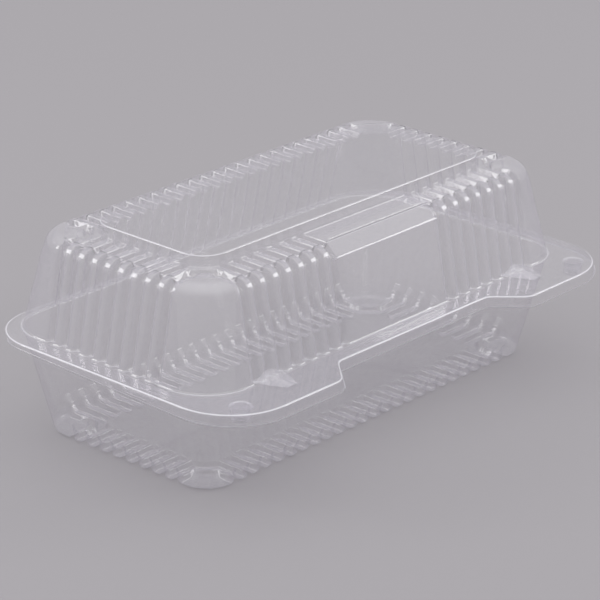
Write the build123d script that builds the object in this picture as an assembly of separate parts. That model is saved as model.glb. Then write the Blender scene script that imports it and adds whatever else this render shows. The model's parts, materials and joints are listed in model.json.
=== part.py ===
"""Clear hinged clamshell pack: a base tray and a lid formed from one plastic sheet.

The part stands on its base with the lid closed. X runs along the pack, the front
with its two finger tabs faces -Y, the fold of the hinge is at +Y and Z is up.
All sizes are in millimetres.
"""
from build123d import *
import math
import os

# Sheet and overall sizes
SHEET = 0.3
BASE_HEIGHT = 44.6
LID_HEIGHT = 44.4
FLANGE_GAP = 0.2

# Mouth of both halves, measured on the outside of the wall at the flange
MOUTH_HALF_X = 110.0
MOUTH_HALF_Y = 57.0
MOUTH_RADIUS = 21.0

# Flutes shared by both halves
PITCH = 7.2
CREST = 2.9
FLUTE_RUN = 1.0
FLUTE_DEPTH = 2.3
LONG_END_PITCHES = 1.0
END_END_PITCHES = 1.4
PANEL_RIBS = 4

# Lid
LID_DRAFT = 0.20
LID_EDGE_RADIUS = 6.0
LID_TOP_RADIUS = 19.0
PLATEAU_BORDER_X = 24.6
PLATEAU_BORDER_Y = 25.4
PLATEAU_RADIUS = 11.0
PLATEAU_RISE = 4.5
PLATEAU_DRAFT = 0.15
PLATEAU_EDGE = 0.9

# Base
BASE_DRAFT = 0.24
BASE_EDGE_RADIUS = 2.0
BASE_BOTTOM_RADIUS = 13.0
FOOT_SLOT_HEIGHT = 8.6
FOOT_SLOT_FLOOR_HEIGHT = 5.9
SOLE_BORDER = 26.0
SOLE_RADIUS = 9.0

# Rim of the lid, measured from the mouth and seen from above
FLANGE_END = 8.4
FLANGE_TAB = 21.0
FLANGE_NOTCH = 8.0
FLANGE_BACK = 3.0
HINGE_GAP = 0.3
RIM_FRONT_RADIUS = 27.0
RIM_BACK_RADIUS = 24.0
TAB_FROM_LUG = 18.0
TAB_SLANT = 12.0
TAB_END_RADIUS = 6.4
SKIRT_FRONT = 4.6
SKIRT_BACK = 1.9
SKIRT_FLARE = 9.0
SKIRT_TO_HINGE = 14.0
SKIRT_CLEARANCE = 0.9

# Snap buttons in the front corners
BUTTON_FROM_END = 16.4
BUTTON_FROM_TAB = 12.0
BUTTON_RADIUS = 3.3
BUTTON_DEPTH = 5.0
BUTTON_CLEARANCE = 0.45

# Wedge lugs that keep nested lids apart
LUG_FROM_BUTTON = 26.5
LUG_HALF_WIDTH = 8.4
LUG_REACH = 11.5
LUG_HEIGHT = 3.0

# Rows of flutes that fit between the rounded corners
LONG_RIBS = int((MOUTH_HALF_X - MOUTH_RADIUS) / PITCH - LONG_END_PITCHES)
END_RIBS = int(2 * ((MOUTH_HALF_Y - MOUTH_RADIUS) / PITCH - END_END_PITCHES)) / 2

# Places that follow the mouth
PLATEAU_HALF_X = MOUTH_HALF_X - PLATEAU_BORDER_X
PLATEAU_HALF_Y = MOUTH_HALF_Y - PLATEAU_BORDER_Y
SOLE_HALF_X = MOUTH_HALF_X - SOLE_BORDER
SOLE_HALF_Y = MOUTH_HALF_Y - SOLE_BORDER
RIM_HALF_X = MOUTH_HALF_X + FLANGE_END
TAB_Y = MOUTH_HALF_Y + FLANGE_TAB
NOTCH_Y = MOUTH_HALF_Y + FLANGE_NOTCH
HINGE_Y = MOUTH_HALF_Y + FLANGE_BACK
SKIRT_END_Y = HINGE_Y - SKIRT_TO_HINGE
BUTTON_X = RIM_HALF_X - BUTTON_FROM_END
BUTTON_Y = TAB_Y - BUTTON_FROM_TAB
LUG_X = BUTTON_X - LUG_FROM_BUTTON
TAB_INNER_X = LUG_X - TAB_FROM_LUG
NOTCH_HALF_X = TAB_INNER_X - TAB_SLANT

FLANGE_TOP = BASE_HEIGHT
LID_FLANGE = FLANGE_TOP + FLANGE_GAP
LID_TOP = LID_FLANGE + LID_HEIGHT
LID_CREST = LID_TOP - PLATEAU_RISE
BEVEL = FLUTE_RUN / FLUTE_DEPTH
GROOVE = PITCH - CREST
LONG_SLOTS = [PITCH * (i + 0.5 - LONG_RIBS - 1) for i in range(2 * LONG_RIBS + 2)]
END_SLOTS = [PITCH * (i - END_RIBS - 0.5) for i in range(int(2 * END_RIBS) + 2)]
FRONT_SLOTS = [x for x in LONG_SLOTS if abs(x) > PITCH * PANEL_RIBS]
CORNER_X = LONG_SLOTS[-1]
CORNER_Y = END_SLOTS[-1]

# Depth of the pack's middle, which is the part's origin, from the middle of the mouth
SKIRT_REACH = (SKIRT_FRONT + SHEET) * math.tan(math.radians(SKIRT_FLARE))
MIDDLE_Y = (HINGE_Y - HINGE_GAP / 2 - TAB_Y - SKIRT_REACH) / 2


def plan(half_x, half_y, radius, z):
    """Rounded rectangle lying flat at height z."""
    return Plane.XY.offset(z) * RectangleRounded(2 * half_x, 2 * half_y, radius)


def ruled(first, second):
    """Solid between two faces whose outlines match edge for edge."""
    faces = [first, second]
    for a, b in zip(first.edges(), second.edges()):
        if a.geom_type == GeomType.LINE:
            faces.append(Face(Wire.make_polygon([a @ 0, a @ 1, b @ 1, b @ 0], close=True)))
        else:
            faces.append(Face.make_surface_from_curves(a, b))
    return Solid(Shell(faces))


def polygon(corners):
    """Flat face through a list of (x, y, z) corners."""
    return Face(Wire.make_polygon([Vector(*c) for c in corners], close=True))


def frustum(lower, upper):
    """Solid between two plans given as (half_x, half_y, radius, z)."""
    return ruled(plan(*lower).face(), plan(*upper).face())


def wall_slot(half_y, draft, z_wall, z_low, z_high, z_floor, grow):
    """Cutter for one flute in a wall facing -Y, with its centre line on X = 0."""
    ends = []
    for depth, top in ((-3.0, z_high), (FLUTE_DEPTH + 0.8, z_floor)):
        half = GROOVE / 2 - depth * BEVEL + grow
        corners = []
        for x, z in ((-half, z_low), (half, z_low), (half, top), (-half, top)):
            y = -(half_y + draft * (z_wall - z)) + depth
            corners.append((x, y, z))
        ends.append(polygon(corners))
    return ruled(*ends)


def level_slot(z_crest, up, y_inner, y_outer, grow):
    """Cutter for one flute in a level face, running in -Y with its centre on X = 0."""
    near = GROOVE / 2 + 3.0 * BEVEL + grow
    far = GROOVE / 2 - (FLUTE_DEPTH + 0.8) * BEVEL + grow
    z_near = z_crest + 3.0 * up
    z_far = z_crest - (FLUTE_DEPTH + 0.8) * up
    section = polygon([(-near, -y_inner, z_near), (near, -y_inner, z_near),
                       (far, -y_inner, z_far), (-far, -y_inner, z_far)])
    return extrude(section, y_outer - y_inner, dir=(0, -1, 0))


def around(cutter, angle, along):
    """Turn a cutter made for the -Y side to another side and slide it along that side."""
    return Rot(0, 0, angle) * Pos(along, 0, 0) * cutter


def corner_links(z_crest, up, grow):
    """Slots that cross the four corners and join the last flutes of both sides."""
    links = []
    reach = FLUTE_DEPTH + CREST
    a = Vector(CORNER_X, CORNER_Y + reach, 0)
    b = Vector(CORNER_X + reach, CORNER_Y, 0)
    slot = level_slot(z_crest, up, -0.3 - grow, (b - a).length + 0.3 + grow, grow)
    slot = Pos(a.X, a.Y, 0) * Rot(0, 0, 45) * slot
    links.append(slot)
    links.append(mirror(slot, Plane.YZ))
    links.append(mirror(slot, Plane.XZ))
    links.append(mirror(mirror(slot, Plane.XZ), Plane.YZ))
    return links


def flutes(make_wall, z_crest, up, y_reach, x_reach, grow, front):
    """All flute cutters of one half, walls and level faces together."""
    cutters = corner_links(z_crest, up, grow)
    reach = FLUTE_DEPTH + CREST
    long_side = (MOUTH_HALF_Y, y_reach, PLATEAU_HALF_Y - 2, CORNER_Y + reach - grow)
    end_side = (MOUTH_HALF_X, x_reach, PLATEAU_HALF_X - 2, CORNER_X + reach - grow)
    for angle, slots, side in ((0, front, long_side), (180, LONG_SLOTS, long_side),
                               (90, END_SLOTS, end_side), (270, END_SLOTS, end_side)):
        half, out, inner, corner = side
        wall = make_wall(half)
        last = max(abs(s) for s in slots)
        for s in slots:
            start = corner if abs(s) == last else inner
            cutters.append(around(wall, angle, s))
            cutters.append(around(level_slot(z_crest, up, start, out, grow), angle, s))
    return cutters


def lid_form(skin):
    """Solid bounded by the outer face of the lid, or by its inner face when skin is SHEET."""
    out = skin * math.hypot(1, LID_DRAFT)
    grow = skin * math.hypot(1, BEVEL)
    crest = LID_CREST - skin
    low = LID_FLANGE - (1.0 if skin else 0.0)
    drop = LID_FLANGE - low

    def body(inset, top, edge):
        height = top - LID_FLANGE
        lower = (MOUTH_HALF_X - inset + drop * LID_DRAFT, MOUTH_HALF_Y - inset + drop * LID_DRAFT,
                 MOUTH_RADIUS - inset, low)
        upper = (MOUTH_HALF_X - inset - height * LID_DRAFT, MOUTH_HALF_Y - inset - height * LID_DRAFT,
                 LID_TOP_RADIUS - inset, top)
        solid = frustum(lower, upper)
        return fillet(solid.faces().sort_by(Axis.Z)[-1].edges(), edge)

    def wall(half):
        return wall_slot(half, LID_DRAFT, LID_FLANGE, low - 1, crest + 4, crest + 4, grow)

    shell = body(out, crest, LID_EDGE_RADIUS - skin)
    cuts = flutes(wall, LID_CREST, 1, MOUTH_HALF_Y + 2, MOUTH_HALF_X + 2, grow, FRONT_SLOTS)
    shell = shell - cuts
    core = body(out + FLUTE_DEPTH, crest - FLUTE_DEPTH, LID_EDGE_RADIUS - skin)
    rise = PLATEAU_RISE + FLUTE_DEPTH
    run = rise * PLATEAU_DRAFT
    lower = (PLATEAU_HALF_X + run - skin, PLATEAU_HALF_Y + run - skin,
             PLATEAU_RADIUS + run - skin, LID_TOP - rise - skin)
    upper = (PLATEAU_HALF_X - skin, PLATEAU_HALF_Y - skin, PLATEAU_RADIUS - skin, LID_TOP - skin)
    plateau = frustum(lower, upper)
    plateau = fillet(plateau.faces().sort_by(Axis.Z)[-1].edges(), PLATEAU_EDGE - skin)
    return shell + core + plateau


def base_form(skin):
    """Solid bounded by the outer face of the base, or by its inner face when skin is SHEET."""
    out = skin * math.hypot(1, BASE_DRAFT)
    grow = skin * math.hypot(1, BEVEL)
    high = FLANGE_TOP + (1.0 if skin else 0.0)
    rise = high - FLANGE_TOP

    def body(inset, bottom, edge):
        height = FLANGE_TOP - bottom
        lower = (MOUTH_HALF_X - inset - height * BASE_DRAFT, MOUTH_HALF_Y - inset - height * BASE_DRAFT,
                 BASE_BOTTOM_RADIUS - inset, bottom)
        upper = (MOUTH_HALF_X - inset + rise * BASE_DRAFT, MOUTH_HALF_Y - inset + rise * BASE_DRAFT,
                 MOUTH_RADIUS - inset, high)
        solid = frustum(lower, upper)
        return fillet(solid.faces().sort_by(Axis.Z)[0].edges(), edge)

    def wall(half):
        return wall_slot(half, -BASE_DRAFT, FLANGE_TOP, -1.5, FOOT_SLOT_HEIGHT + 3 + skin,
                         FOOT_SLOT_FLOOR_HEIGHT - 1 + skin, grow)

    shell = body(out, skin, BASE_EDGE_RADIUS - skin)
    cuts = flutes(wall, 0, -1, MOUTH_HALF_Y, MOUTH_HALF_X, grow, LONG_SLOTS)
    sole = frustum((SOLE_HALF_X + skin, SOLE_HALF_Y + skin, SOLE_RADIUS + skin, -1),
                   (SOLE_HALF_X + skin - BEVEL * FLUTE_DEPTH, SOLE_HALF_Y + skin - BEVEL * FLUTE_DEPTH,
                    SOLE_RADIUS + skin, FLUTE_DEPTH + 1))
    shell = shell - cuts - sole
    core = body(out + FLUTE_DEPTH, skin + FLUTE_DEPTH, BASE_EDGE_RADIUS - skin)
    return shell + core


def rim_outline(inset):
    """Rim of the pack seen from above, with a tab at each front corner and a notch between."""
    x = RIM_HALF_X - inset
    front = TAB_Y - inset
    notch = NOTCH_Y - inset
    back = HINGE_Y - HINGE_GAP / 2
    tab_in = TAB_INNER_X + inset * 0.4
    notch_in = NOTCH_HALF_X + inset * 0.4
    edge = Polyline((notch_in, -notch), (tab_in, -front), (x, -front), (x, back), (-x, back),
                    (-x, -front), (-tab_in, -front), (-notch_in, -notch), close=True)
    face = make_face(edge)
    corners = face.vertices()
    fronts = [v for v in corners if abs(v.X) > x - 1 and v.Y < 0]
    backs = [v for v in corners if abs(v.X) > x - 1 and v.Y > 0]
    tabs = [v for v in corners if abs(v.X) < x - 1]
    face = fillet(fronts, RIM_FRONT_RADIUS - inset)
    for group, radius in ((backs, RIM_BACK_RADIUS - inset), (tabs, TAB_END_RADIUS)):
        match = [v for v in face.vertices() if any((Vector(v) - Vector(w)).length < 0.01 for w in group)]
        face = fillet(match, radius)
    return face


def lid_flange():
    """Flat rim of the lid with its skirt turned down round the front and the ends."""
    outer = Pos(0, 0, LID_FLANGE + SHEET) * rim_outline(0)
    inner = Pos(0, 0, LID_FLANGE) * rim_outline(SHEET)
    body = extrude(outer, SKIRT_FRONT + SHEET, dir=(0, 0, -1), taper=-SKIRT_FLARE)
    body = body - extrude(inner, SKIRT_FRONT + 2, dir=(0, 0, -1), taper=-SKIRT_FLARE)
    depth = 2 * TAB_Y
    tilt = math.degrees(math.atan2(SKIRT_FRONT - SKIRT_BACK, TAB_Y + SKIRT_END_Y))
    below = Box(3 * RIM_HALF_X, 3 * depth, 20, align=(Align.CENTER, Align.CENTER, Align.MAX))
    below = Pos(0, -TAB_Y, LID_FLANGE - SKIRT_FRONT) * Rot(tilt, 0, 0) * below
    behind = Box(3 * RIM_HALF_X, depth, 20, align=(Align.CENTER, Align.MIN, Align.MAX))
    behind = Pos(0, SKIRT_END_Y, LID_FLANGE) * behind
    return body - below - behind


def base_flange():
    """Flat rim of the base, inside the skirt of the lid."""
    sheet = rim_outline(SHEET + SKIRT_CLEARANCE)
    return extrude(Pos(0, 0, FLANGE_TOP) * sheet, SHEET, dir=(0, 0, -1))


def cup(x, y, top, radius, depth):
    """Round blind pocket pressed down from a flange: its outside and its hollow."""
    outside = Pos(x, y, top) * Cylinder(radius, depth, align=(Align.CENTER, Align.CENTER, Align.MAX))
    hollow = Pos(x, y, top + 1) * Cylinder(radius - SHEET, depth - SHEET + 1,
                                           align=(Align.CENTER, Align.CENTER, Align.MAX))
    return outside, hollow


def lug(x, skin):
    """Gable-shaped lug that leans on the foot of the wall and runs out on the flange."""
    root = MOUTH_HALF_Y - 3
    end = root + LUG_REACH + 3
    slope = LUG_HEIGHT / LUG_REACH
    foot = LID_FLANGE + SHEET - 1.2 * skin
    ends = []
    for y, height in ((root, LUG_HEIGHT + 3 * slope), (end - 0.4, 0.4 * slope)):
        half = LUG_HALF_WIDTH * height / LUG_HEIGHT
        ends.append(polygon([(x - half, -y, foot), (x + half, -y, foot), (x, -y, foot + height)]))
    return ruled(*ends)


def make_lid():
    """Lid with plateau, fluted walls, flange, skirt, buttons and lugs."""
    shell = lid_form(0) + lid_flange()
    for x in (-LUG_X, LUG_X):
        shell = shell + lug(x, 0)
    for x in (-BUTTON_X, BUTTON_X):
        outside, hollow = cup(x, -BUTTON_Y, LID_FLANGE + SHEET, BUTTON_RADIUS, BUTTON_DEPTH)
        shell = shell + outside - hollow
    shell = shell - lid_form(SHEET)
    for x in (-LUG_X, LUG_X):
        shell = shell - lug(x, SHEET)
    return shell


def make_base():
    """Base tray with slotted foot, flange and button sockets."""
    shell = base_form(0) + base_flange()
    for x in (-BUTTON_X, BUTTON_X):
        outside, hollow = cup(x, -BUTTON_Y, FLANGE_TOP, BUTTON_RADIUS + BUTTON_CLEARANCE + SHEET,
                              BUTTON_DEPTH + FLANGE_GAP + 0.5)
        shell = shell + outside - hollow
    return shell - base_form(SHEET)


def main():
    """Write one STEP file for each moulded half."""
    os.makedirs("parts", exist_ok=True)
    centre = Pos(0, -MIDDLE_Y, 0)
    export_step(centre * make_base(), "parts/base_tray.step")
    export_step(centre * make_lid(), "parts/lid.step")


main()
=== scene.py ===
import json
import math

import bpy
import numpy as np
from mathutils import Matrix, Vector


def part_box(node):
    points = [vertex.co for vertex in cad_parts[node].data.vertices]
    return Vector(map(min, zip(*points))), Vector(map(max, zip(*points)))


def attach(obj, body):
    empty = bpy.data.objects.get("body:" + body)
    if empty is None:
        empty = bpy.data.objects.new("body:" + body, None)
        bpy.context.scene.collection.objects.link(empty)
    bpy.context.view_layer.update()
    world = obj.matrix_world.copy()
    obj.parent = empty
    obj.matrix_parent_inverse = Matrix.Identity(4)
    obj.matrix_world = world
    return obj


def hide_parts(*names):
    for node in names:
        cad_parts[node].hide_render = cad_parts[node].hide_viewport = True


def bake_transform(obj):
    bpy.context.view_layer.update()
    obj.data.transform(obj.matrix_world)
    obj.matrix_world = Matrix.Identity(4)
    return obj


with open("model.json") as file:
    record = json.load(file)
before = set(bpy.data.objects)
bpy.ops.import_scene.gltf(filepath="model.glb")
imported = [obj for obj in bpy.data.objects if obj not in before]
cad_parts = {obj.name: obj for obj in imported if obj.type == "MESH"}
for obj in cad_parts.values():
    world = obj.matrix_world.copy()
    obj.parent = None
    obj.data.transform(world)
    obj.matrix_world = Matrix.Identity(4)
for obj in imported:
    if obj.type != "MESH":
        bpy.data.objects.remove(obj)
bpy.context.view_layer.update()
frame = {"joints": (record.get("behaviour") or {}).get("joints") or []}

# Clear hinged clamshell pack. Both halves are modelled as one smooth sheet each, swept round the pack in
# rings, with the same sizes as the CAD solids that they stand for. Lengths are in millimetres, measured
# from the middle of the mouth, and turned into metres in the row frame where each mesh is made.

MM = 0.001
HINGE = [value / MM for value in frame["joints"][0]["pos_m"]]
BASE_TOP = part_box("base_tray")[1].z / MM
LID_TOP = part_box("lid")[1].z / MM

# Sheet and mouth
SHEET = 0.3
HINGE_Y = 60.0
MIDDLE_Y = HINGE[1] - HINGE_Y
LID_FLANGE = 2 * HINGE[2] - BASE_TOP
MOUTH = (110.0, 57.0, 21.0)

# Flutes
PITCH = 7.2
CREST = 2.9
FLUTE_RUN = 1.0
FLUTE_DEPTH = 2.3
FLUTE_ROUND = 0.22
GROOVE_HALF = (PITCH - CREST) / 2
FLOOR_HALF = GROOVE_HALF - FLUTE_RUN
LONG_SLOTS = [PITCH * (i - 11.5) for i in range(24)]
END_SLOTS = [PITCH * (i - 4) for i in range(9)]
PANEL_HALF_X = 4 * PITCH
CORNER_X = LONG_SLOTS[-1]
CORNER_Y = END_SLOTS[-1]
LINK_REACH = FLUTE_DEPTH + CREST

# Lid
LID_DRAFT = 0.20
LID_SHOULDER = 6.0
PANEL_CHAMFER = (4.4, 5.2)
PANEL_ROUND = 0.4
LID_TOP_RADIUS = 19.0
PLATEAU = (85.4, 31.6, 11.0)
PLATEAU_RISE = 4.5
PLATEAU_DRAFT = 0.15
PLATEAU_EDGE = 0.9

# Share of milky plastic mixed into the clear sheet at each vertex. The crest and riser values are painted
# sheen, lighter strips that stand in for reflections, and the line and lip values are painted highlights
# along rounded edges; the plain, flange and skirt values are an even milkiness.
PLAIN_TONE = 0.16
# Painted sheen: crests and riser made lighter, standing in for reflections.
WALL_CREST_PAINTED_SHEEN = 0.13
LEVEL_CREST_PAINTED_SHEEN = 0.12
RISER_PAINTED_SHEEN = 0.16
FLANGE_TONE = 0.06
SKIRT_TONE = 0.05
# Painted highlights: strong milky lines along the rounded edges.
PLATEAU_PAINTED_HIGHLIGHT = 0.8
PANEL_PAINTED_HIGHLIGHT = 0.6
FOOT_PAINTED_HIGHLIGHT = 0.4
RIM_PAINTED_HIGHLIGHT = 0.7
LIP_PAINTED_HIGHLIGHT = 0.9

# Base
BASE_DRAFT = 0.24
BASE_SHOULDER = 2.0
BASE_BOTTOM_RADIUS = 13.0
SLOT_TOP = 8.6
SLOT_FLOOR_TOP = 5.9
SOLE = (84.0, 31.0, 9.0)

# Rim
RIM_HALF_X = 118.4
TAB_Y = 78.0
NOTCH_Y = 65.0
RIM_BACK_Y = HINGE_Y - 0.15
RIM_FRONT_RADIUS = 27.0
RIM_BACK_RADIUS = 24.0
TAB_INNER_X = 57.5
NOTCH_HALF_X = 45.5
TAB_BLEND = 5.0
SKIRT_FRONT = 4.6
SKIRT_BACK = 1.9
SKIRT_FLARE = 0.16
SKIRT_EDGE = 0.9
SKIRT_END_Y = 46.0
SKIRT_CLEARANCE = 0.9
SKIRT_LIP = 0.5
FOOT_ROUND = 0.8
LEDGE = 1.1

# Buttons and lugs
BUTTON = (102.0, -66.0)
BUTTON_RADIUS = 3.3
BUTTON_DEPTH = 5.0
BUTTON_CLEARANCE = 0.45
LUG_X = 75.5
LUG_HALF_WIDTH = 8.4
LUG_REACH = 11.5
LUG_HEIGHT = 3.0


# ---------------------------------------------------------------- columns round the pack

def around_slot(centre):
    """Places along a wall that one groove needs: close pairs at its rounded edges, and its middle."""
    steps = []
    for edge in (FLOOR_HALF, GROOVE_HALF):
        steps += [edge + FLUTE_ROUND * k for k in (-1.0, -0.33, 0.33, 1.0)]
    return [centre - d for d in steps] + [centre] + [centre + d for d in steps]


SIDE_REACH = GROOVE_HALF + FLUTE_ROUND
LONG_PLACES = sorted(x for s in LONG_SLOTS for x in around_slot(s))
END_PLACES = sorted(y for s in END_SLOTS for y in around_slot(s))
LONG_LIMIT = CORNER_X + SIDE_REACH
END_LIMIT = CORNER_Y + SIDE_REACH
LONG_FREE = CORNER_X - PITCH + SIDE_REACH
END_FREE = CORNER_Y - PITCH + SIDE_REACH
CORNER_COLUMNS = 26


# Columns of one corner, from the middle of the long side to the middle of the end side. Those on the long
# side keep their x, those on the end side keep their y, and the rest share out the corner between them.
LONG_HALF = [x for x in LONG_PLACES if x > 0]
CORNER_SHARES = [(k + 1) / (CORNER_COLUMNS + 1) for k in range(CORNER_COLUMNS)]
END_HALF = [y for y in reversed(END_PLACES) if y > 0]


def ring_y(x, half_x, half_y, radius):
    """Half depth of a rounded rectangle at x."""
    over = max(0.0, x - (half_x - radius))
    return half_y - radius + math.sqrt(max(0.0, radius * radius - over * over))


def ring_x(y, half_x, half_y, radius):
    """Half length of a rounded rectangle at y."""
    return ring_y(y, half_y, half_x, radius)


def corner_path(half_x, half_y, radius, from_x, from_y, count=160):
    """Points along a rounded rectangle's corner from x = from_x to y = from_y, evenly spaced."""
    start = math.asin(min(1.0, max(0.0, (from_x - half_x + radius) / radius)))
    end = math.acos(min(1.0, max(0.0, (from_y - half_y + radius) / radius)))
    turn = np.linspace(start, end, count)
    x = half_x - radius + radius * np.sin(turn)
    y = half_y - radius + radius * np.cos(turn)
    first = [[from_x, half_y]] if from_x < half_x - radius else []
    last = [[half_x, from_y]] if from_y < half_y - radius else []
    return np.array(first + list(zip(x, y)) + last)


def along(points, shares):
    """Points at the given shares of a polyline's length."""
    steps = np.hypot(*np.diff(points, axis=0).T)
    length = np.concatenate([[0], np.cumsum(steps)])
    want = np.asarray(shares) * length[-1]
    return np.stack([np.interp(want, length, points[:, 0]), np.interp(want, length, points[:, 1])], 1)


def exact_quarter(half_x, half_y, radius):
    """Columns of one corner on a ring where the grooves' columns keep their x or y."""
    long_side = [(x, ring_y(x, half_x, half_y, radius)) for x in LONG_HALF]
    end_side = [(ring_x(y, half_x, half_y, radius), y) for y in END_HALF]
    path = corner_path(half_x, half_y, radius, LONG_LIMIT, END_LIMIT)
    corner = along(path, CORNER_SHARES)
    return np.array(long_side + [tuple(p) for p in corner] + end_side)


GUIDE = exact_quarter(MOUTH[0] - 9.0, MOUTH[1] - 9.0, LID_TOP_RADIUS)
FREE_FROM = max(i for i, x in enumerate(LONG_HALF) if x <= LONG_FREE + 0.01)
FIRST_END = min(i for i, y in enumerate(END_HALF) if y <= END_FREE + 0.01)
FREE_TO = len(LONG_HALF) + CORNER_COLUMNS + FIRST_END


def quarter(half_x, half_y, radius, exact):
    """Columns of one corner on a ring. exact goes from 0, shared out evenly, to 1, grooves kept straight."""
    if exact >= 1:
        return exact_quarter(half_x, half_y, radius)
    guide = GUIDE[FREE_FROM:FREE_TO + 1]
    length = np.concatenate([[0], np.cumsum(np.hypot(*np.diff(guide, axis=0).T))])
    path = corner_path(half_x, half_y, radius, LONG_FREE, END_FREE)
    shared = along(path, length / length[-1])
    long_side = [(x, ring_y(x, half_x, half_y, radius)) for x in LONG_HALF[:FREE_FROM]]
    end_side = [(ring_x(y, half_x, half_y, radius), y) for y in END_HALF[FREE_TO + 1 - len(GUIDE):]]
    points = np.array(long_side + [tuple(p) for p in shared] + end_side)
    if exact == 0:
        return points
    return points * (1 - exact) + exact_quarter(half_x, half_y, radius) * exact


def full_turn(points):
    """One corner's columns mirrored into a full turn from the middle of the front, going first to +X."""
    return np.concatenate([points * [1, -1], points[::-1], points * [-1, 1], points[::-1] * [-1, -1]])


# ---------------------------------------------------------------- grooves

def ramp(distance):
    """1 in a groove's floor, 0 on a crest, straight between, with rounded corners."""
    def rounded(d):
        w = FLUTE_ROUND
        return np.where(d < -w, 0.0, np.where(d > w, d, (d + w) ** 2 / (4 * w)))
    return 1 - (rounded(distance - FLOOR_HALF) - rounded(distance - GROOVE_HALF)) / FLUTE_RUN


def groove_share(points, front_panel):
    """How far down into a groove each point of a ring is, from 0 on a crest to 1 on a floor."""
    x, y = np.abs(points[:, 0]), np.abs(points[:, 1])
    long_slots = np.array([s for s in LONG_SLOTS if 0 < s < CORNER_X - 1])
    end_slots = np.array([s for s in END_SLOTS if 0 <= s < CORNER_Y - 1])
    share = np.maximum(ramp(np.abs(x[:, None] - long_slots).min(1)) * (y > SOLE[1] - 6),
                       ramp(np.abs(y[:, None] - end_slots).min(1)) * (x > SOLE[0] - 6))
    share = np.where((x > LONG_FREE) & (y > END_FREE), 0.0, share)
    low, high = (CORNER_X, CORNER_Y + LINK_REACH), (CORNER_X + LINK_REACH, CORNER_Y)
    up = np.hypot(x - low[0], np.minimum(y - low[1], 0))
    out = np.hypot(y - high[1], np.minimum(x - high[0], 0))
    t = np.clip(((x - low[0]) - (y - low[1])) / (2 * LINK_REACH), 0, 1)
    link = np.hypot(x - low[0] - t * LINK_REACH, y - low[1] + t * LINK_REACH)
    share = np.maximum(share, ramp(np.minimum(np.minimum(up, out), link)))
    if front_panel:
        share = np.where((points[:, 1] < 0) & (x < PANEL_HALF_X), 0.0, share)
    return np.clip(share, 0, 1)


# ---------------------------------------------------------------- rings of one half

class Sheet:
    """Rows of points round the pack, joined into one surface."""

    def __init__(self):
        self.rows = []
        self.tones = []

    def add(self, points, heights, tone=0.0):
        heights = np.broadcast_to(heights, len(points))
        self.rows.append(np.column_stack([points, heights]))
        self.tones.append(np.array(np.broadcast_to(tone, len(points)), float))


def inward(points, half_x, half_y, radius):
    """Unit vectors that point from a ring to its inside."""
    cx, cy = half_x - radius, half_y - radius
    away = np.stack([np.sign(points[:, 0]) * np.maximum(np.abs(points[:, 0]) - cx, 0),
                     np.sign(points[:, 1]) * np.maximum(np.abs(points[:, 1]) - cy, 0)], 1)
    size = np.hypot(away[:, 0], away[:, 1])[:, None]
    return -away / np.maximum(size, 1e-9)


def fluted_ring(sheet, size, z, sideways, down, exact, share=None, panel=False, crest=0.0, crease=0.0):
    """Adds a ring of the crest's form, pushed in by sideways and down where grooves cross it.

    crest is the painted sheen added to its crests, a painted reflection, and crease the painted light added
    to the whole ring.
    """
    points = full_turn(quarter(*size, exact))
    groove = groove_share(points, panel) if share is None else share
    move = inward(points, *size) * (groove * sideways)[:, None]
    # Crests get the painted sheen, lighter than the groove floors, and crease paints light over the whole
    # ring.
    sheet.add(points + move, z + groove * down, crease + crest * (1 - groove))
    return groove


def lerp(a, b, t):
    return tuple(p + (q - p) * t for p, q in zip(a, b))


def level_rows(sheet, inner, outer, z, down, panel):
    """Rows over the level border, close together where the corner links cross it."""
    start, end = corner_mid(inner), corner_mid(outer)
    gap = math.hypot(CORNER_X + LINK_REACH / 2 - start[0], CORNER_Y + LINK_REACH / 2 - start[1])
    whole = math.hypot(end[0] - start[0], end[1] - start[1])
    offsets = [0.0]
    for sign in (-1, 1):
        for edge in (FLOOR_HALF, GROOVE_HALF):
            offsets += [gap + sign * (edge + FLUTE_ROUND * k) for k in (-1.0, -0.4, 0.4, 1.0)]
    last = whole - (PANEL_CHAMFER[0] + PANEL_ROUND if panel else FLUTE_DEPTH + BASE_SHOULDER) - 0.5
    offsets += [gap, (gap + GROOVE_HALF + last) / 2, last]
    offsets = sorted(o for o in offsets if 0 <= o <= last)
    for offset in offsets:
        t = offset / whole
        exact = min(1.0, max(0.0, (t - 0.08) / 0.5))
        # Crests of the level border get a painted sheen.
        fluted_ring(sheet, lerp(inner, outer, t), z, 0.0, down, exact * exact * (3 - 2 * exact), panel=panel,
                    crest=LEVEL_CREST_PAINTED_SHEEN)


def corner_mid(size):
    """Where the 45 degree line crosses a ring's corner."""
    half_x, half_y, radius = size
    return half_x - radius + radius * math.sqrt(0.5), half_y - radius + radius * math.sqrt(0.5)


def rounded_shoulder(draft, radius, steps):
    """(inset, drop) along a rounded shoulder, from the sharp edge where border and wall would meet."""
    turn = math.atan2(1, draft)
    reach = radius * math.tan(turn / 2)
    angles = [turn * k / steps for k in range(steps + 1)]
    return np.array([(reach - radius * math.sin(a), radius * (1 - math.cos(a))) for a in angles])


def chamfered_shoulder(draft, inset, drop, softness):
    """The same for a slanted flat between two softly rounded edges, in nine points."""
    start, corner = np.array([inset, 0.0]), np.array([-drop * draft, drop])
    slant = (corner - start) / np.linalg.norm(corner - start)
    wall = np.array([-draft, 1.0]) / math.hypot(draft, 1)
    level = np.array([-1.0, 0.0])
    first = (start - level * softness, start + slant * softness)
    last = (corner - slant * softness, corner + wall * softness)
    soft_start = start * 0.5 + (first[0] + first[1]) * 0.25
    soft_corner = corner * 0.5 + (last[0] + last[1]) * 0.25
    span = last[0] - first[1]
    return np.array([first[0], soft_start, first[1], first[1] + span * 0.1, first[1] + span * 0.5,
                     first[1] + span * 0.9, last[0], soft_corner, last[1]])


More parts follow.
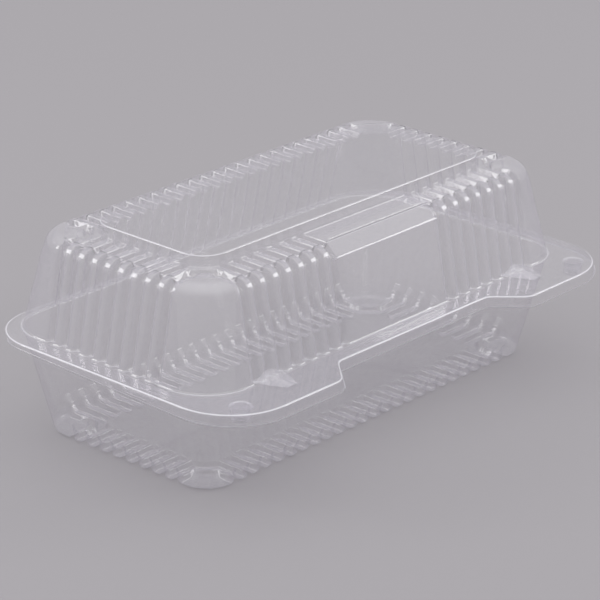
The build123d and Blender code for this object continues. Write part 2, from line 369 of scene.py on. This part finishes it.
def shoulder_rows(sheet, top, z_top, draft, radius, up, panel=None, steps=8):
    """Rows over the shoulder between the level border and the drafted wall.

    top is the ring where border and wall would meet in a sharp edge, and panel the front panel's chamfer.
    Returns each column's share of a groove.
    """
    size = full_turn(quarter(*top, 1.0))
    groove = groove_share(size, panel is not None)
    face_in = inward(size, *top)
    profile = rounded_shoulder(draft, radius, steps)
    on_panel = np.zeros(len(size))
    if panel is not None:
        flat = chamfered_shoulder(draft, *panel, PANEL_ROUND)
        x = np.abs(size[:, 0])
        on_panel = np.clip((PANEL_HALF_X + CREST - x) / (CREST / 2), 0, 1) * (size[:, 1] < 0)
        on_panel = on_panel * on_panel * (3 - 2 * on_panel)
    for k in range(steps + 1):
        step = np.broadcast_to(profile[k], (len(size), 2))
        if panel is not None:
            step = step + (flat[k] - step) * on_panel[:, None]
        move = face_in * (step[:, 0] + groove * FLUTE_DEPTH)[:, None]
        # The panel chamfer's two edge rows get a painted highlight line.
        line = PANEL_PAINTED_HIGHLIGHT * on_panel if k in (1, 7) else 0.0
        z = z_top - up * (step[:, 1] + groove * FLUTE_DEPTH)
        # Wall crests get a painted sheen, and line adds a painted highlight.
        sheet.add(size + move, z, WALL_CREST_PAINTED_SHEEN * (1 - groove) + line)
    return groove


def join(name, sheet, faces_up):
    """Makes one mesh from a sheet's rows, closing its first row with a flat face."""
    rows = np.array(sheet.rows)
    count, columns = rows.shape[:2]
    points = (rows.reshape(-1, 3) + [0, MIDDLE_Y, 0]) * MM
    column = np.arange(columns)
    after = (column + 1) % columns
    faces = []
    for r in range(count - 1):
        quad = np.stack([r * columns + column, r * columns + after,
                         (r + 1) * columns + after, (r + 1) * columns + column], 1)
        faces += quad.tolist()
    faces.append(column[::-1].tolist())
    if faces_up:
        faces = [face[::-1] for face in faces]
    return make_mesh(name, points, faces, np.concatenate(sheet.tones))


def make_mesh(name, points, faces, tones=None):
    """A smooth-shaded mesh whose vertex normals follow the larger faces, with each vertex's milkiness, which
    carries the painted sheen and painted highlights.
    """
    mesh = bpy.data.meshes.new(name)
    mesh.from_pydata([tuple(p) for p in points], [], faces)
    if tones is None:
        tones = np.full(len(points), PLAIN_TONE)
    mesh.attributes.new("milkiness_and_painted_light", "FLOAT", "POINT").data.foreach_set("value", tones)
    mesh.validate()
    mesh.polygons.foreach_set("use_smooth", [True] * len(mesh.polygons))
    mesh.update()
    normals = np.zeros((len(mesh.vertices), 3))
    face_normal = np.zeros(len(mesh.polygons) * 3)
    mesh.polygons.foreach_get("normal", face_normal)
    area = np.zeros(len(mesh.polygons))
    mesh.polygons.foreach_get("area", area)
    corner_vertex = np.zeros(len(mesh.loops), int)
    mesh.loops.foreach_get("vertex_index", corner_vertex)
    corners = np.zeros(len(mesh.polygons), int)
    mesh.polygons.foreach_get("loop_total", corners)
    weight = np.minimum(area, np.quantile(area, 0.999))
    weighted = np.repeat(face_normal.reshape(-1, 3) * weight[:, None], corners, axis=0)
    np.add.at(normals, corner_vertex, weighted)
    normals /= np.maximum(np.linalg.norm(normals, axis=1, keepdims=True), 1e-12)
    mesh.normals_split_custom_set_from_vertices([tuple(n) for n in normals])
    obj = bpy.data.objects.new(name, mesh)
    bpy.context.scene.collection.objects.link(obj)
    return obj


# ---------------------------------------------------------------- the two halves

def rim_front_y(x):
    """Half depth of the rim's front at x: a notch in the middle and a tab at each corner."""
    def rounded(d):
        w = TAB_BLEND / 2
        return np.where(d < -w, 0.0, np.where(d > w, d, (d + w) ** 2 / (4 * w)))
    slope = (TAB_Y - NOTCH_Y) / (TAB_INNER_X - NOTCH_HALF_X)
    return NOTCH_Y + slope * (rounded(x - NOTCH_HALF_X) - rounded(x - TAB_INNER_X))


def rim_quarter(front):
    """Columns of one corner on the rim's outline."""
    half_y, radius = (TAB_Y, RIM_FRONT_RADIUS) if front else (RIM_BACK_Y, RIM_BACK_RADIUS)
    long_side = [(x, float(rim_front_y(x)) if front else half_y) for x in LONG_HALF]
    path = corner_path(RIM_HALF_X, half_y, radius, LONG_LIMIT, END_LIMIT)
    corner = along(path, CORNER_SHARES)
    end_side = [(RIM_HALF_X, y) for y in END_HALF]
    return np.array(long_side + [tuple(p) for p in corner] + end_side)


def rim_outline():
    """The rim's outline, column by column, and its outward direction."""
    front, back = rim_quarter(True), rim_quarter(False)
    points = np.concatenate([front * [1, -1], back[::-1], back * [-1, 1], front[::-1] * [-1, -1]])
    ahead, behind = np.roll(points, -3, 0), np.roll(points, 3, 0)
    tangent = ahead - behind
    tangent /= np.hypot(tangent[:, 0], tangent[:, 1])[:, None]
    return points, np.stack([tangent[:, 1], -tangent[:, 0]], 1)


def foot_rows(sheet, size, z, up, draft, groove):
    """Rounded foot where a wall turns out into the flange."""
    for k in range(4):
        angle = math.radians(90) * k / 3
        out = FOOT_ROUND * (1 - math.cos(angle))
        rise = FOOT_ROUND * (1 - math.sin(angle))
        ring = full_turn(quarter(*size, 1.0))
        move = inward(ring, *size) * (groove * FLUTE_DEPTH - out - draft * FOOT_ROUND * k / 3)[:, None]
        # The foot's third row is a painted highlight line.
        sheet.add(ring + move, z + up * rise, FOOT_PAINTED_HIGHLIGHT if k == 2 else FLANGE_TONE)


def lid_size(z):
    """Ring of the lid's crest form at height z."""
    rise = z - LID_FLANGE
    share = rise / (LID_TOP - PLATEAU_RISE - LID_FLANGE)
    inset = rise * LID_DRAFT
    return MOUTH[0] - inset, MOUTH[1] - inset, MOUTH[2] + (LID_TOP_RADIUS - MOUTH[2]) * share


def base_size(z):
    """Ring of the base's crest form at height z."""
    drop = BASE_TOP - z
    inset = drop * BASE_DRAFT
    return MOUTH[0] - inset, MOUTH[1] - inset, MOUTH[2] + (BASE_BOTTOM_RADIUS - MOUTH[2]) * drop / BASE_TOP


def grown(size, by):
    return size[0] + by, size[1] + by, size[2] + by


def plain_ring(sheet, size, z, tone=0.0):
    sheet.add(full_turn(quarter(*size, 0.0)), z, tone)


def make_lid():
    """Lid: plateau, fluted border, shoulder, walls, flange and skirt."""
    sheet = Sheet()
    skin = SHEET / 2
    top, crest = LID_TOP - skin, LID_TOP - PLATEAU_RISE - skin
    plain_ring(sheet, grown(PLATEAU, -1.6), top)
    for k in range(5):
        angle = math.radians(80) * k / 4
        out = PLATEAU_EDGE * (math.sin(angle) - 1)
        # The plateau edge's middle row is a painted highlight line.
        line = PLATEAU_PAINTED_HIGHLIGHT if k == 2 else 0.0
        plain_ring(sheet, grown(PLATEAU, out), top - PLATEAU_EDGE * (1 - math.cos(angle)), line)
    run = PLATEAU_DRAFT * PLATEAU_RISE
    foot = grown(PLATEAU, run)
    # The plateau's riser rings are lighter all round: a painted sheen standing in for their reflection.
    for share, out, rise in ((0.5, -0.3, 2.0), (1.0, 0.0, 0.6), (1.0, 0.1, 0.25), (1.0, 0.35, 0.05)):
        size = grown(foot, out + 0.2)
        fluted_ring(sheet, size, crest + rise, 0.0, -FLUTE_DEPTH * share, 0.0, panel=True,
                    crease=RISER_PAINTED_SHEEN)
    edge = lid_size(crest)
    level_rows(sheet, grown(foot, 0.8), edge, crest, -FLUTE_DEPTH, True)
    groove = shoulder_rows(sheet, edge, crest, LID_DRAFT, LID_SHOULDER, 1, PANEL_CHAMFER)
    low = LID_FLANGE + SHEET / 2
    start = crest - PANEL_CHAMFER[1] - 2
    for k in range(4):
        share = k / 3
        z = start + (low + FOOT_ROUND - start) * share
        # Wall crests get the painted sheen.
        fluted_ring(sheet, lid_size(z), z, FLUTE_DEPTH, -FLUTE_DEPTH * (1 - share), 1.0, share=groove,
                    crest=WALL_CREST_PAINTED_SHEEN)
    foot_rows(sheet, lid_size(low + FOOT_ROUND), low, 1, LID_DRAFT, groove)
    ring = full_turn(quarter(*grown(MOUTH, LEDGE), 1.0))
    sheet.add(ring, low)
    add_rim(sheet, low, 0.0, skirt=True)
    return join("lid_sheet", sheet, True)


def add_rim(sheet, z, inset, skirt):
    """Flat flange out to the rim, ending in the turned-down skirt or in a plain cut edge."""
    rim, out = rim_outline()
    outer = rim - out * (inset + SKIRT_EDGE)
    ring = sheet.rows[-1][:, :2]
    for share in (0.5, 0.94, 1.0):
        sheet.add(ring + (outer - ring) * share, z)
    if not skirt:
        sheet.add(rim - out * inset, z)
        sheet.add(rim - out * (inset - 0.05), z - 0.25)
        return
    y = rim[:, 1]
    depth = SKIRT_FRONT + (SKIRT_BACK - SKIRT_FRONT) * (y + TAB_Y) / (SKIRT_END_Y + TAB_Y)
    depth = np.maximum(depth * np.clip((SKIRT_END_Y + 2 - y) / 4, 0, 1), 0.3)
    edge = np.minimum(SKIRT_EDGE, depth * 0.8)
    for k in range(1, 5):
        angle = math.radians(82) * k / 4
        sideways = out * (SKIRT_EDGE * math.sin(angle))
        # The rim edge's first two rows are a painted highlight line.
        tone = RIM_PAINTED_HIGHLIGHT if k in (1, 2) else FLANGE_TONE
        sheet.add(outer + sideways, z - edge * (1 - math.cos(angle)), tone)
    below = depth - edge
    for share in (0.5, 1.0):
        flare = out * (SKIRT_EDGE + below * share * SKIRT_FLARE * 0.8)[:, None]
        sheet.add(outer + flare, z - edge - below * share, SKIRT_TONE)
    # The skirt's lip rows are a painted highlight.
    lip = np.where(depth > 1, SKIRT_LIP, 0.05)
    flare = out * (SKIRT_EDGE + below * SKIRT_FLARE * 0.8 + lip)[:, None]
    sheet.add(outer + flare, z - depth, LIP_PAINTED_HIGHLIGHT)
    sheet.add(outer + flare, z - depth + lip * 0.8, LIP_PAINTED_HIGHLIGHT)


def make_base():
    """Base tray: recessed sole, slotted foot, plain walls and flange."""
    sheet = Sheet()
    skin = SHEET / 2
    plain_ring(sheet, grown(SOLE, -1.6), FLUTE_DEPTH + skin)
    for share in (0.0, 0.15, 0.85, 1.0):
        size = grown(SOLE, -1.0 + share)
        z = FLUTE_DEPTH * (1 - share) + skin
        fluted_ring(sheet, size, z, 0.0, FLUTE_DEPTH * share, 0.0)
    edge = base_size(skin)
    level_rows(sheet, grown(SOLE, 0.4), edge, skin, FLUTE_DEPTH, False)
    groove = shoulder_rows(sheet, edge, skin, BASE_DRAFT, BASE_SHOULDER, -1, steps=6)
    slant = SLOT_TOP - SLOT_FLOOR_TOP
    for z in (4.6, 5.5, 6.0, 6.4, 7.2, 8.1, 8.5, 8.9, 20, 32):
        share = min(1.0, max(0.0, (SLOT_TOP - z) / slant))
        fluted_ring(sheet, base_size(z), z, FLUTE_DEPTH * share, 0.0, 1.0, share=groove)
    high = BASE_TOP - skin
    foot_rows(sheet, base_size(high - FOOT_ROUND), high, -1, BASE_DRAFT, groove * 0)
    sheet.add(full_turn(quarter(*grown(MOUTH, LEDGE), 1.0)), high)
    add_rim(sheet, high, SHEET + SKIRT_CLEARANCE, skirt=False)
    return join("base_sheet", sheet, False)


def make_cup(name, x, y, z, radius, depth, steps=40):
    """Round button pressed down from a flange, with a rolled mouth and a domed end."""
    profile = [(radius + 0.9, 0.0), (radius + 0.45, -0.06), (radius + 0.12, -0.35), (radius, -0.8),
               (radius - 0.05, -depth + 1.0), (radius - 0.3, -depth + 0.4), (radius - 0.9, -depth),
               (radius * 0.35, -depth + 0.25)]
    points, faces = [], []
    for r, dz in profile:
        for k in range(steps):
            turn = 2 * math.pi * k / steps
            points.append(((x + r * math.cos(turn)) * MM,
                           (y + MIDDLE_Y + r * math.sin(turn)) * MM,
                           (z + dz) * MM))
    for i in range(len(profile) - 1):
        for k in range(steps):
            after = (k + 1) % steps
            faces.append((i * steps + k, i * steps + after, (i + 1) * steps + after, (i + 1) * steps + k))
    faces.append([(len(profile) - 1) * steps + k for k in range(steps)][::-1])
    return make_mesh(name, points, faces)


def make_lug(name, x):
    """Gable-shaped lug that leans on the foot of the front wall and runs out on the flange."""
    flange = LID_FLANGE + SHEET
    across, lengthwise = 16, 10
    points, faces = [], []
    for j in range(lengthwise + 1):
        t = j / lengthwise
        y = -(MOUTH[1] - 1.5 + (LUG_REACH + 1.0) * t)
        fade = max(0.0, 1 - t)
        for i in range(across + 1):
            s = 2 * i / across - 1
            ridge = 1 - math.sqrt(s * s + 0.006)
            height = max(0.02, LUG_HEIGHT * (0.15 + fade) * ridge)
            half = LUG_HALF_WIDTH * (0.35 + 0.65 * fade)
            points.append(((x + half * s) * MM, (y + MIDDLE_Y) * MM, (flange + height) * MM))
    row = across + 1
    for j in range(lengthwise):
        for i in range(across):
            a = j * row + i
            faces.append((a, a + row, a + row + 1, a + 1))
    return make_mesh(name, points, faces)


def make_fold():
    """Fold of the sheet along the back, between the two flanges."""
    half_x = RIM_HALF_X - RIM_BACK_RADIUS
    low, high = BASE_TOP - SHEET / 2, LID_FLANGE + SHEET / 2
    middle, reach = (low + high) / 2, (high - low) / 2
    points, faces = [], []
    columns, rows = 48, 8
    for i in range(columns + 1):
        x = -half_x + 2 * half_x * i / columns
        for j in range(rows + 1):
            turn = math.pi * j / rows
            y = RIM_BACK_Y - 0.1 + 0.28 * math.sin(turn)
            points.append((x * MM, (y + MIDDLE_Y) * MM, (middle - reach * math.cos(turn)) * MM))
    row = rows + 1
    for i in range(columns):
        for j in range(rows):
            a = i * row + j
            faces.append((a, a + row, a + row + 1, a + 1))
    return make_mesh("fold", points, faces)


# ---------------------------------------------------------------- material

def clear_sheet_material(name, tint, haze):
    """Thin clear sheet: passes light straight on, mirrors more at a slant, with faint ripples and haze, and
    each vertex's painted sheen and highlights mixed in as milky plastic.
    """
    material = bpy.data.materials.new(name)
    material.use_nodes = True
    tree = material.node_tree
    tree.nodes.clear()
    new, link = tree.nodes.new, tree.links.new
    coords = new("ShaderNodeTexCoord")

    ripples = new("ShaderNodeTexNoise")
    ripples.inputs["Scale"].default_value = 38
    ripples.inputs["Detail"].default_value = 2
    link(coords.outputs["Object"], ripples.inputs["Vector"])
    grain = new("ShaderNodeTexNoise")
    grain.inputs["Scale"].default_value = 420
    grain.inputs["Detail"].default_value = 3
    link(coords.outputs["Object"], grain.inputs["Vector"])

    wave = new("ShaderNodeBump")
    wave.inputs["Strength"].default_value = 0.13
    wave.inputs["Distance"].default_value = 0.0006
    link(ripples.outputs["Fac"], wave.inputs["Height"])
    fine = new("ShaderNodeBump")
    fine.inputs["Strength"].default_value = 0.04
    fine.inputs["Distance"].default_value = 0.0002
    link(grain.outputs["Fac"], fine.inputs["Height"])
    link(wave.outputs["Normal"], fine.inputs["Normal"])

    rough = new("ShaderNodeMapRange")
    rough.inputs["From Min"].default_value = 0.3
    rough.inputs["From Max"].default_value = 0.7
    rough.inputs["To Min"].default_value = 0.02
    rough.inputs["To Max"].default_value = 0.055
    link(ripples.outputs["Fac"], rough.inputs["Value"])

    gloss = new("ShaderNodeBsdfGlossy")
    gloss.inputs["Color"].default_value = (1, 1, 1, 1)
    link(rough.outputs["Result"], gloss.inputs["Roughness"])
    link(fine.outputs["Normal"], gloss.inputs["Normal"])

    edge = new("ShaderNodeMath")
    edge.operation = "POWER"
    edge.inputs[1].default_value = 3
    depth = new("ShaderNodeMixRGB")
    depth.inputs["Color1"].default_value = (*tint, 1)
    depth.inputs["Color2"].default_value = (*(c ** 9 for c in tint), 1)
    link(edge.outputs["Value"], depth.inputs["Fac"])
    clear = new("ShaderNodeBsdfTransparent")
    link(depth.outputs["Color"], clear.inputs["Color"])

    milk = new("ShaderNodeBsdfDiffuse")
    milk.inputs["Color"].default_value = (0.86, 0.85, 0.9, 1)
    cloud = new("ShaderNodeMapRange")
    cloud.inputs["From Min"].default_value = 0.3
    cloud.inputs["From Max"].default_value = 0.7
    cloud.inputs["To Min"].default_value = haze * 0.6
    cloud.inputs["To Max"].default_value = haze * 1.4
    link(grain.outputs["Fac"], cloud.inputs["Value"])
    # Per-vertex milkiness, mostly painted sheen and painted highlights, added to the haze.
    drawn = new("ShaderNodeAttribute")
    drawn.attribute_name = "milkiness_and_painted_light"
    total = new("ShaderNodeMath")
    total.operation = "ADD"
    total.use_clamp = True
    link(cloud.outputs["Result"], total.inputs[0])
    link(drawn.outputs["Fac"], total.inputs[1])
    body = new("ShaderNodeMixShader")
    link(total.outputs["Value"], body.inputs["Fac"])
    link(clear.outputs["BSDF"], body.inputs[1])
    link(milk.outputs["BSDF"], body.inputs[2])

    slant = new("ShaderNodeLayerWeight")
    slant.inputs["Blend"].default_value = 0.5
    link(fine.outputs["Normal"], slant.inputs["Normal"])
    steep = new("ShaderNodeMath")
    steep.operation = "POWER"
    steep.inputs[1].default_value = 5
    link(slant.outputs["Facing"], steep.inputs[0])
    link(slant.outputs["Facing"], edge.inputs[0])
    mirror = new("ShaderNodeMapRange")
    mirror.inputs["To Min"].default_value = 0.1
    mirror.inputs["To Max"].default_value = 1.0
    link(steep.outputs["Value"], mirror.inputs["Value"])

    sheet = new("ShaderNodeMixShader")
    link(mirror.outputs["Result"], sheet.inputs["Fac"])
    link(body.outputs["Shader"], sheet.inputs[1])
    link(gloss.outputs["BSDF"], sheet.inputs[2])
    out = new("ShaderNodeOutputMaterial")
    link(sheet.outputs["Shader"], out.inputs["Surface"])
    return material


def finish_piece(obj, body, material, *nodes):
    """Gives a piece its material and its body, and hides the CAD nodes it stands for."""
    obj.data.materials.append(material)
    if body:
        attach(obj, body)
    if nodes:
        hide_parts(*nodes)
    return obj


CLEAR = clear_sheet_material("clear_sheet", (0.982, 0.98, 0.985), 0.05)

finish_piece(make_lid(), "lid", CLEAR, "lid")
finish_piece(make_base(), "base", CLEAR, "base_tray")
for side, sign in (("left", -1), ("right", 1)):
    x = sign * BUTTON[0]
    button = make_cup("snap_button_" + side, x, BUTTON[1], LID_FLANGE + SHEET, BUTTON_RADIUS, BUTTON_DEPTH)
    finish_piece(button, "lid", CLEAR)
    socket = make_cup("button_socket_" + side, x, BUTTON[1], BASE_TOP,
                      BUTTON_RADIUS + BUTTON_CLEARANCE + SHEET / 2, BUTTON_DEPTH + 0.7)
    finish_piece(socket, "base", CLEAR)
    finish_piece(make_lug("lug_" + side, sign * LUG_X), "lid", CLEAR)
fold = finish_piece(make_fold(), None, CLEAR)
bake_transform(fold)


# ---------------------------------------------------------------- camera, floor and light

# Softboxes, in metres and watts
SOFTBOX_DISTANCE = 1.3
SOFTBOX_SIZE = (0.5, 0.4)
SOFTBOX_POWER = 2.1


def make_camera():
    """Looks down on the front left corner through a long lens."""
    azimuth, elevation, roll = (math.radians(a) for a in (-48.10, 22.07, 0.54))
    distance, aim_right, aim_up = 1165.4, -2.31, 39.16
    target = Vector((0, MIDDLE_Y, 81.07))
    back = Vector((math.sin(azimuth) * math.cos(elevation), -math.cos(azimuth) * math.cos(elevation),
                   math.sin(elevation)))
    level = Vector((math.cos(azimuth), math.sin(azimuth), 0))
    upright = back.cross(level)
    right = level * math.cos(roll) + upright * math.sin(roll)
    up = back.cross(right)
    place = (target - right * aim_right - up * aim_up + back * distance) * MM
    data = bpy.data.cameras.new("camera")
    data.sensor_width = 36
    data.lens = 172.5
    data.clip_end = 20
    camera = bpy.data.objects.new("camera", data)
    turn = Matrix((right, up, back)).transposed().to_4x4()
    camera.matrix_world = Matrix.Translation(place) @ turn
    bpy.context.scene.collection.objects.link(camera)
    bpy.context.scene.camera = camera


def make_floor():
    """Plain grey studio floor."""
    bpy.ops.mesh.primitive_plane_add(size=8, location=(0, 0, -0.0002))
    floor = bpy.context.object
    floor.name = "floor"
    material = bpy.data.materials.new("studio_floor")
    material.use_nodes = True
    shader = material.node_tree.nodes["Principled BSDF"]
    shader.inputs["Base Color"].default_value = (0.398, 0.385, 0.398, 1)
    shader.inputs["Roughness"].default_value = 0.9
    shader.inputs["Specular IOR Level"].default_value = 0.1
    floor.data.materials.append(material)


def make_lamp(name, direction, distance, size, power):
    """Softbox that faces the pack."""
    data = bpy.data.lights.new(name, "AREA")
    data.shape = "RECTANGLE"
    data.size, data.size_y = size
    data.energy = power
    lamp = bpy.data.objects.new(name, data)
    aim = Vector(direction).normalized()
    lamp.location = Vector((0, 0, 0.05)) + aim * distance
    lamp.rotation_euler = aim.to_track_quat("Z", "Y").to_euler()
    bpy.context.scene.collection.objects.link(lamp)


def make_world():
    """Grey surroundings, level at the sides and about twice as light overhead."""
    world = bpy.data.worlds.new("studio")
    bpy.context.scene.world = world
    world.use_nodes = True
    tree = world.node_tree
    back = tree.nodes["Background"]
    back.inputs["Strength"].default_value = 1.0
    coords = tree.nodes.new("ShaderNodeTexCoord")
    split = tree.nodes.new("ShaderNodeSeparateXYZ")
    tree.links.new(coords.outputs["Generated"], split.inputs["Vector"])
    fade = tree.nodes.new("ShaderNodeValToRGB")
    low, high = fade.color_ramp.elements
    low.position, low.color = 0.35, (0.56, 0.55, 0.565, 1)
    high.position, high.color = 0.95, (1.24, 1.23, 1.26, 1)
    tree.links.new(split.outputs["Z"], fade.inputs["Fac"])
    tree.links.new(fade.outputs["Color"], back.inputs["Color"])


make_camera()
make_floor()
make_lamp("softbox_left", (-0.589, 0.62, 0.48), SOFTBOX_DISTANCE, SOFTBOX_SIZE, SOFTBOX_POWER)
make_lamp("softbox_right", (0.688, -0.566, 0.46), SOFTBOX_DISTANCE, SOFTBOX_SIZE, SOFTBOX_POWER)
make_world()

scene = bpy.context.scene
scene.view_settings.view_transform = "Standard"
scene.cycles.transparent_max_bounces = 32
